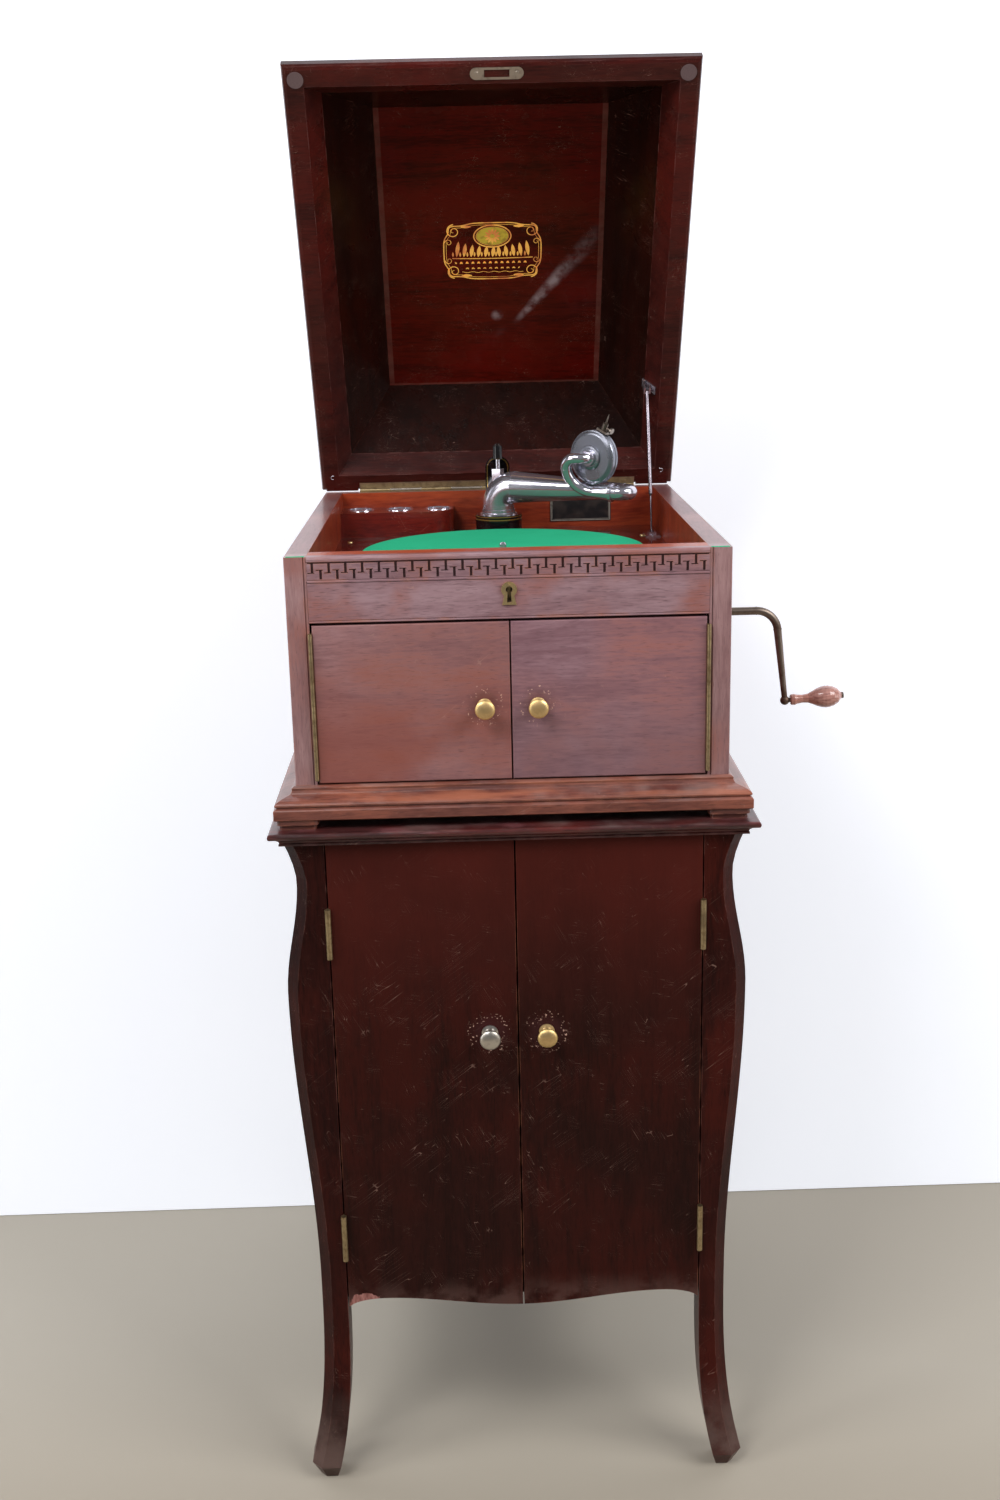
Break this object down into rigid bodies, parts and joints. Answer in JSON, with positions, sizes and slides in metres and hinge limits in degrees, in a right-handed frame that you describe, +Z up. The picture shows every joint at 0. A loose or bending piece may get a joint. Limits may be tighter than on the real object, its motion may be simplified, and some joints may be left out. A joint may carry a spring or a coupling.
{
  "type": "table gramophone on record cabinet",
  "caption": "Wind-up table gramophone with an open hipped lid, two front doors, tone arm and green turntable, on a two-door record cabinet with shaped legs",
  "frame": {"origin": "on the floor under the middle of the record cabinet", "axes": "X to the right, Y to the back, Z up; the doors face -Y"},
  "size_m": [0.6108, 0.609, 1.4577],
  "materials": {
    "dark_mahogany": "dark stained mahogany, french polished and worn",
    "mahogany": "mahogany veneer, polished, a little faded",
    "plain_wood": "bare softwood",
    "aged_brass": "dull aged brass",
    "brass": "turned brass, polished rim",
    "nickel": "nickel plate",
    "black_enamel": "black enamel with thin gold lines",
    "cast_iron": "cast iron, painted dark",
    "motor_brass": "machined brass",
    "steel": "bare steel, grey-brown with age",
    "green_felt": "green felt",
    "grip_wood": "turned and varnished"
  },
  "bodies": {
    "cabinet": {"stand_top": "dark_mahogany", "stand_legs": "dark_mahogany", "stand_side_panels": "dark_mahogany", "stand_back": "dark_mahogany", "stand_shelves": "dark_mahogany", "record_dividers": "plain_wood", "case_feet": "mahogany", "base_moulding": "mahogany", "case_bottom": "plain_wood", "case_walls": "mahogany", "case_stiles": "mahogany", "fretted_rail": "mahogany", "key_rail": "mahogany", "lid_lock": "brass", "fixed_hinge_leaves": "aged_brass", "motor_board": "mahogany", "horn_box": "plain_wood", "horn_throat": "cast_iron", "data_plate": "black_enamel", "needle_block": "mahogany", "needle_cups": "nickel", "arm_base": "black_enamel", "arm_bracket": "black_enamel", "motor_frame": "cast_iron", "crank_bush": "motor_brass", "stay_bracket": "nickel"},
    "left_stand_door": {"left_stand_door": "dark_mahogany", "left_stand_hinges": "aged_brass", "left_stand_knob": "nickel"},
    "right_stand_door": {"right_stand_door": "dark_mahogany", "right_stand_hinges": "aged_brass", "right_stand_knob": "brass"},
    "left_door": {"left_door": "mahogany", "left_door_hinge": "aged_brass", "left_door_knob": "brass"},
    "right_door": {"right_door": "mahogany", "right_door_hinge": "aged_brass", "right_door_knob": "brass"},
    "lid": {"lid_rim": "mahogany", "lid_walls": "mahogany", "lid_top": "mahogany", "lid_hinge_leaf": "nickel", "strike_plate": "brass", "lid_bumpers": "green_felt", "stay_knuckle": "nickel"},
    "lid_stay": {"stay_rod": "nickel"},
    "tone_arm": {"tone_arm": "nickel"},
    "gooseneck": {"gooseneck": "nickel", "sound_box": "nickel", "needle_arm": "steel"},
    "turntable": {"turntable": "nickel", "turntable_felt": "green_felt"},
    "intermediate_gear": {"intermediate_gear": "steel"},
    "spring_barrel": {"spring_barrel": "motor_brass"},
    "winding_arbor": {"winding_arbor": "steel"},
    "governor": {"governor": "motor_brass"},
    "brake_lever": {"brake_lever": "nickel"},
    "speed_lever": {"speed_lever": "nickel"},
    "crank": {"crank_arm": "steel"},
    "crank_grip": {"crank_grip": "grip_wood"}
  },
  "joints": [
    {"name": "left_stand_door_hinge", "type": "hinge", "parent": "cabinet", "child": "left_stand_door", "pos_m": [-0.184, -0.2611, 0.456], "axis": [0, 0, -1], "range_deg": [0, 120]},
    {"name": "right_stand_door_hinge", "type": "hinge", "parent": "cabinet", "child": "right_stand_door", "pos_m": [0.184, -0.2611, 0.456], "axis": [0, 0, 1], "range_deg": [0, 120]},
    {"name": "left_door_hinge", "type": "hinge", "parent": "cabinet", "child": "left_door", "pos_m": [-0.1888, -0.2441, 0.85], "axis": [0, 0, -1], "range_deg": [0, 160]},
    {"name": "right_door_hinge", "type": "hinge", "parent": "cabinet", "child": "right_door", "pos_m": [0.1888, -0.2441, 0.85], "axis": [0, 0, 1], "range_deg": [0, 160]},
    {"name": "lid_hinge", "type": "hinge", "parent": "cabinet", "child": "lid", "pos_m": [0, 0.272, 0.994], "axis": [1, 0, 0], "range_deg": [0, 61.8]},
    {"name": "lid_stay_pivot", "type": "hinge", "parent": "lid", "child": "lid_stay", "pos_m": [0.179, 0.22056, 1.11109], "axis": [1, 0, 0], "range_deg": [-24.2, 0]},
    {"name": "tone_arm_swing", "type": "hinge", "parent": "cabinet", "child": "tone_arm", "pos_m": [0, 0.197, 0.9715], "axis": [0, 0, 1], "range_deg": [-50, 10]},
    {"name": "gooseneck_swivel", "type": "hinge", "parent": "tone_arm", "child": "gooseneck", "pos_m": [0.12814, 0.10927, 1.0035], "axis": [0.891, -0.454, 0], "range_deg": [0, 118]},
    {"name": "turntable_spin", "type": "hinge", "parent": "cabinet", "child": "turntable", "pos_m": [0, -0.003, 0.958], "axis": [0, 0, 1], "continuous": true},
    {"name": "intermediate_gear_spin", "type": "hinge", "parent": "cabinet", "child": "intermediate_gear", "pos_m": [0.03, -0.003, 0.91], "axis": [0, 0, 1], "continuous": true},
    {"name": "spring_barrel_spin", "type": "hinge", "parent": "cabinet", "child": "spring_barrel", "pos_m": [0.072, -0.003, 0.89], "axis": [0, 0, 1], "continuous": true},
    {"name": "governor_spin", "type": "hinge", "parent": "cabinet", "child": "governor", "pos_m": [0, 0.0173, 0.893], "axis": [1, 0, 0], "continuous": true},
    {"name": "crank_turn", "type": "hinge", "parent": "cabinet", "child": "crank", "pos_m": [0.212, -0.003, 0.885], "axis": [1, 0, 0], "continuous": true},
    {"name": "winding_arbor_spin", "type": "hinge", "parent": "cabinet", "child": "winding_arbor", "pos_m": [0.072, -0.003, 0.872], "axis": [0, 0, 1], "continuous": true},
    {"name": "crank_grip_spin", "type": "hinge", "parent": "crank", "child": "crank_grip", "pos_m": [0.31468, -0.003, 0.78394], "axis": [0.9977, 0, 0.068], "continuous": true},
    {"name": "brake_lever_pivot", "type": "hinge", "parent": "cabinet", "child": "brake_lever", "pos_m": [-0.15, -0.165, 0.95], "axis": [0, 0, 1], "range_deg": [-12, 0]},
    {"name": "speed_lever_pivot", "type": "hinge", "parent": "cabinet", "child": "speed_lever", "pos_m": [0.15, -0.165, 0.95], "axis": [0, 0, 1], "range_deg": [-25, 25]}
  ],
  "couplings": [
    {"joint": "lid_stay_pivot", "follows": "lid_hinge", "ratio": -0.39},
    {"joint": "intermediate_gear_spin", "follows": "turntable_spin", "ratio": -0.25},
    {"joint": "spring_barrel_spin", "follows": "turntable_spin", "ratio": 0.041667},
    {"joint": "governor_spin", "follows": "turntable_spin", "ratio": 10},
    {"joint": "winding_arbor_spin", "follows": "crank_turn", "ratio": 0.25}
  ]
}
